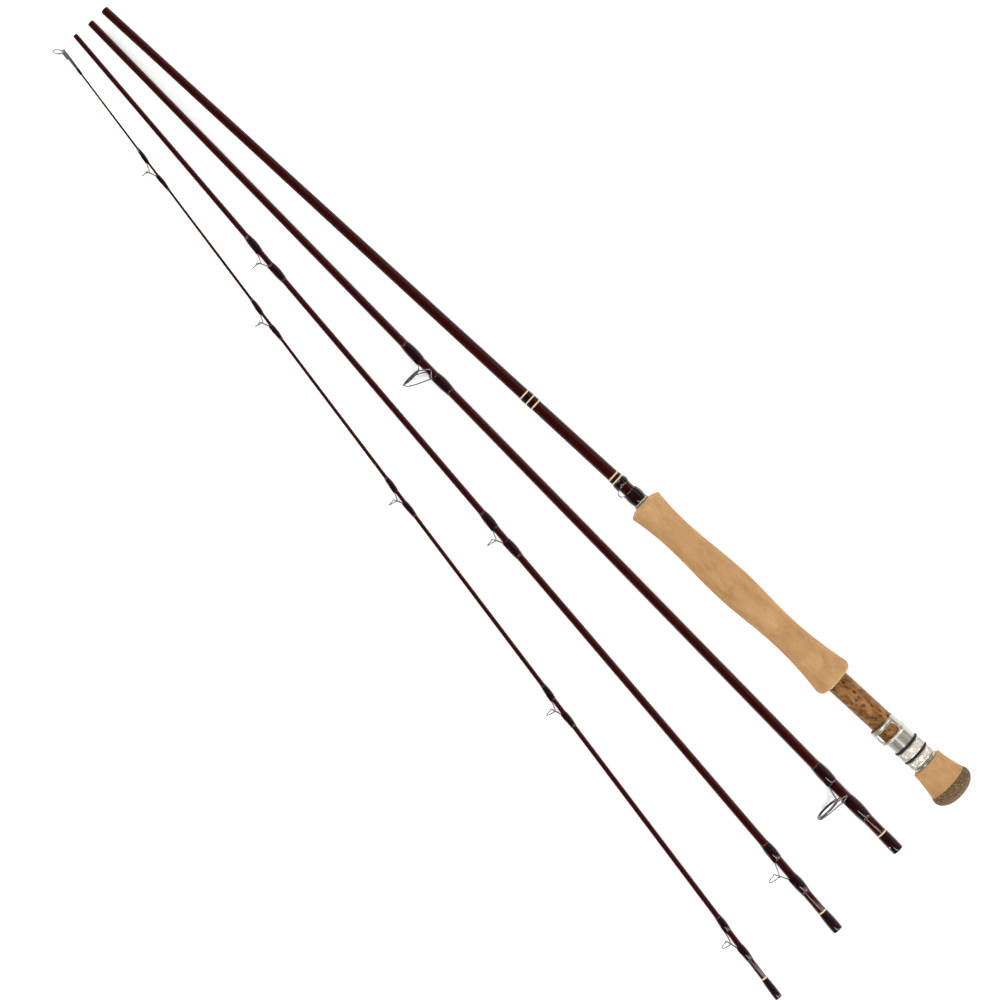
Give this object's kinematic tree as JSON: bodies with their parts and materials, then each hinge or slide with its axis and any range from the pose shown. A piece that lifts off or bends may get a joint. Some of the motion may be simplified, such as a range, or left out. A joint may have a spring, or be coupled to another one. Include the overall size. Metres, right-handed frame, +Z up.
{
  "type": "four-piece fly rod",
  "caption": "Fly rod taken apart into its sections, with a cork grip, a screw-locking reel seat, a fighting butt, ring and snake guides and sleeve ferrules.",
  "frame": {"origin": "centre of the bounding box's bottom face, on the surface the sections lie on", "axes": "+Z up, +X along the butt section from the fighting butt towards the tip end, +Y across the laid-out sections from the butt section towards the tip section"},
  "size_m": [0.7638, 0.1946, 0.0308],
  "materials": {
    "blank": "gloss varnish over dark burgundy graphite",
    "cork": "sanded natural cork",
    "composite_cork": "sanded dark composite cork with speckles",
    "polished_metal": "bright polished, nuts knurled",
    "burl": "figured burl under gloss varnish",
    "arbor": "matt foam and epoxy, hidden",
    "o_ring_rubber": "smooth black",
    "wrap": "near-black thread under gloss varnish",
    "gold": "pale gold thread under varnish",
    "tan": "tan thread under varnish",
    "guide_metal": "polished guide wire",
    "dark_ring": "dark polished ring"
  },
  "bodies": {
    "butt_section": {"butt_blank": "blank", "grip_cork_rings": "cork", "winding_check": "polished_metal", "hook_keeper": "polished_metal", "keeper_wraps": "wrap", "butt_gold_bands": "gold", "butt_band_wraps": "wrap", "fixed_hood": "polished_metal", "seat_insert": "burl", "seat_arbors": "arbor", "threaded_barrel": "polished_metal", "end_collar": "polished_metal", "butt_plug": "arbor", "fighting_butt_cork": "cork", "fighting_butt_cap": "composite_cork"},
    "sliding_hood": {"sliding_hood": "polished_metal"},
    "front_o_ring": {"front_o_ring": "o_ring_rubber"},
    "front_lock_nut": {"front_lock_nut": "polished_metal"},
    "rear_o_ring": {"rear_o_ring": "o_ring_rubber"},
    "rear_lock_nut": {"rear_lock_nut": "polished_metal"},
    "second_section": {"second_blank": "blank", "second_ferrule_wrap": "wrap", "second_gold_band": "gold", "second_guide_wraps": "wrap", "second_trim_bands": "tan", "lower_stripping_frame": "guide_metal", "lower_stripping_legs": "guide_metal", "lower_stripping_ring": "dark_ring", "upper_stripping_frame": "guide_metal", "upper_stripping_legs": "guide_metal", "upper_stripping_ring": "dark_ring"},
    "third_section": {"third_blank": "blank", "third_ferrule_wrap": "wrap", "third_gold_band": "gold", "third_guide_wraps": "wrap", "third_trim_bands": "tan", "third_snake_guide_1": "guide_metal", "third_snake_guide_2": "guide_metal", "third_snake_guide_3": "guide_metal"},
    "tip_section": {"tip_blank": "blank", "tip_ferrule_wrap": "wrap", "tip_gold_band": "gold", "tip_guide_wraps": "wrap", "tip_trim_bands": "tan", "tip_snake_guide_1": "guide_metal", "tip_snake_guide_2": "guide_metal", "tip_snake_guide_3": "guide_metal", "tip_snake_guide_4": "guide_metal", "tip_snake_guide_5": "guide_metal", "tip_top_tube": "guide_metal", "tip_top_loop": "guide_metal"}
  },
  "joints": [
    {"name": "rear_carry", "type": "slide", "parent": "butt_section", "child": "rear_o_ring", "axis": [0.9999, 0, -0.0116], "range_m": [0, 0.00625]},
    {"name": "rear_nut_turn", "type": "hinge", "parent": "rear_o_ring", "child": "rear_lock_nut", "pos_m": [-0.3405, -0.0819, 0.01508], "axis": [0.9999, 0, -0.0116], "range_deg": [0, 1800]},
    {"name": "hood_slide", "type": "slide", "parent": "rear_o_ring", "child": "sliding_hood", "axis": [0.9999, 0, -0.0116], "range_m": [0, 0.0025]},
    {"name": "front_ring_turn", "type": "hinge", "parent": "sliding_hood", "child": "front_o_ring", "pos_m": [-0.3285, -0.0819, 0.01494], "axis": [0.9999, 0, -0.0116], "range_deg": [0, 1800]},
    {"name": "front_nut_turn", "type": "hinge", "parent": "front_o_ring", "child": "front_lock_nut", "pos_m": [-0.3325, -0.0819, 0.01499], "axis": [0.9999, 0, -0.0116], "range_deg": [0, 720]},
    {"name": "second_lift", "type": "slide", "parent": "butt_section", "child": "second_section", "axis": [0, 0, 1], "range_m": [0, 0.08]},
    {"name": "third_lift", "type": "slide", "parent": "butt_section", "child": "third_section", "axis": [0, 0, 1], "range_m": [0, 0.08]},
    {"name": "tip_lift", "type": "slide", "parent": "butt_section", "child": "tip_section", "axis": [0, 0, 1], "range_m": [0, 0.08]}
  ],
  "couplings": [
    {"joint": "rear_nut_turn", "follows": "rear_carry", "rad_per_m": 5026.5},
    {"joint": "front_ring_turn", "follows": "rear_carry", "rad_per_m": 5026.5},
    {"joint": "front_nut_turn", "follows": "hood_slide", "rad_per_m": 5026.5}
  ]
}
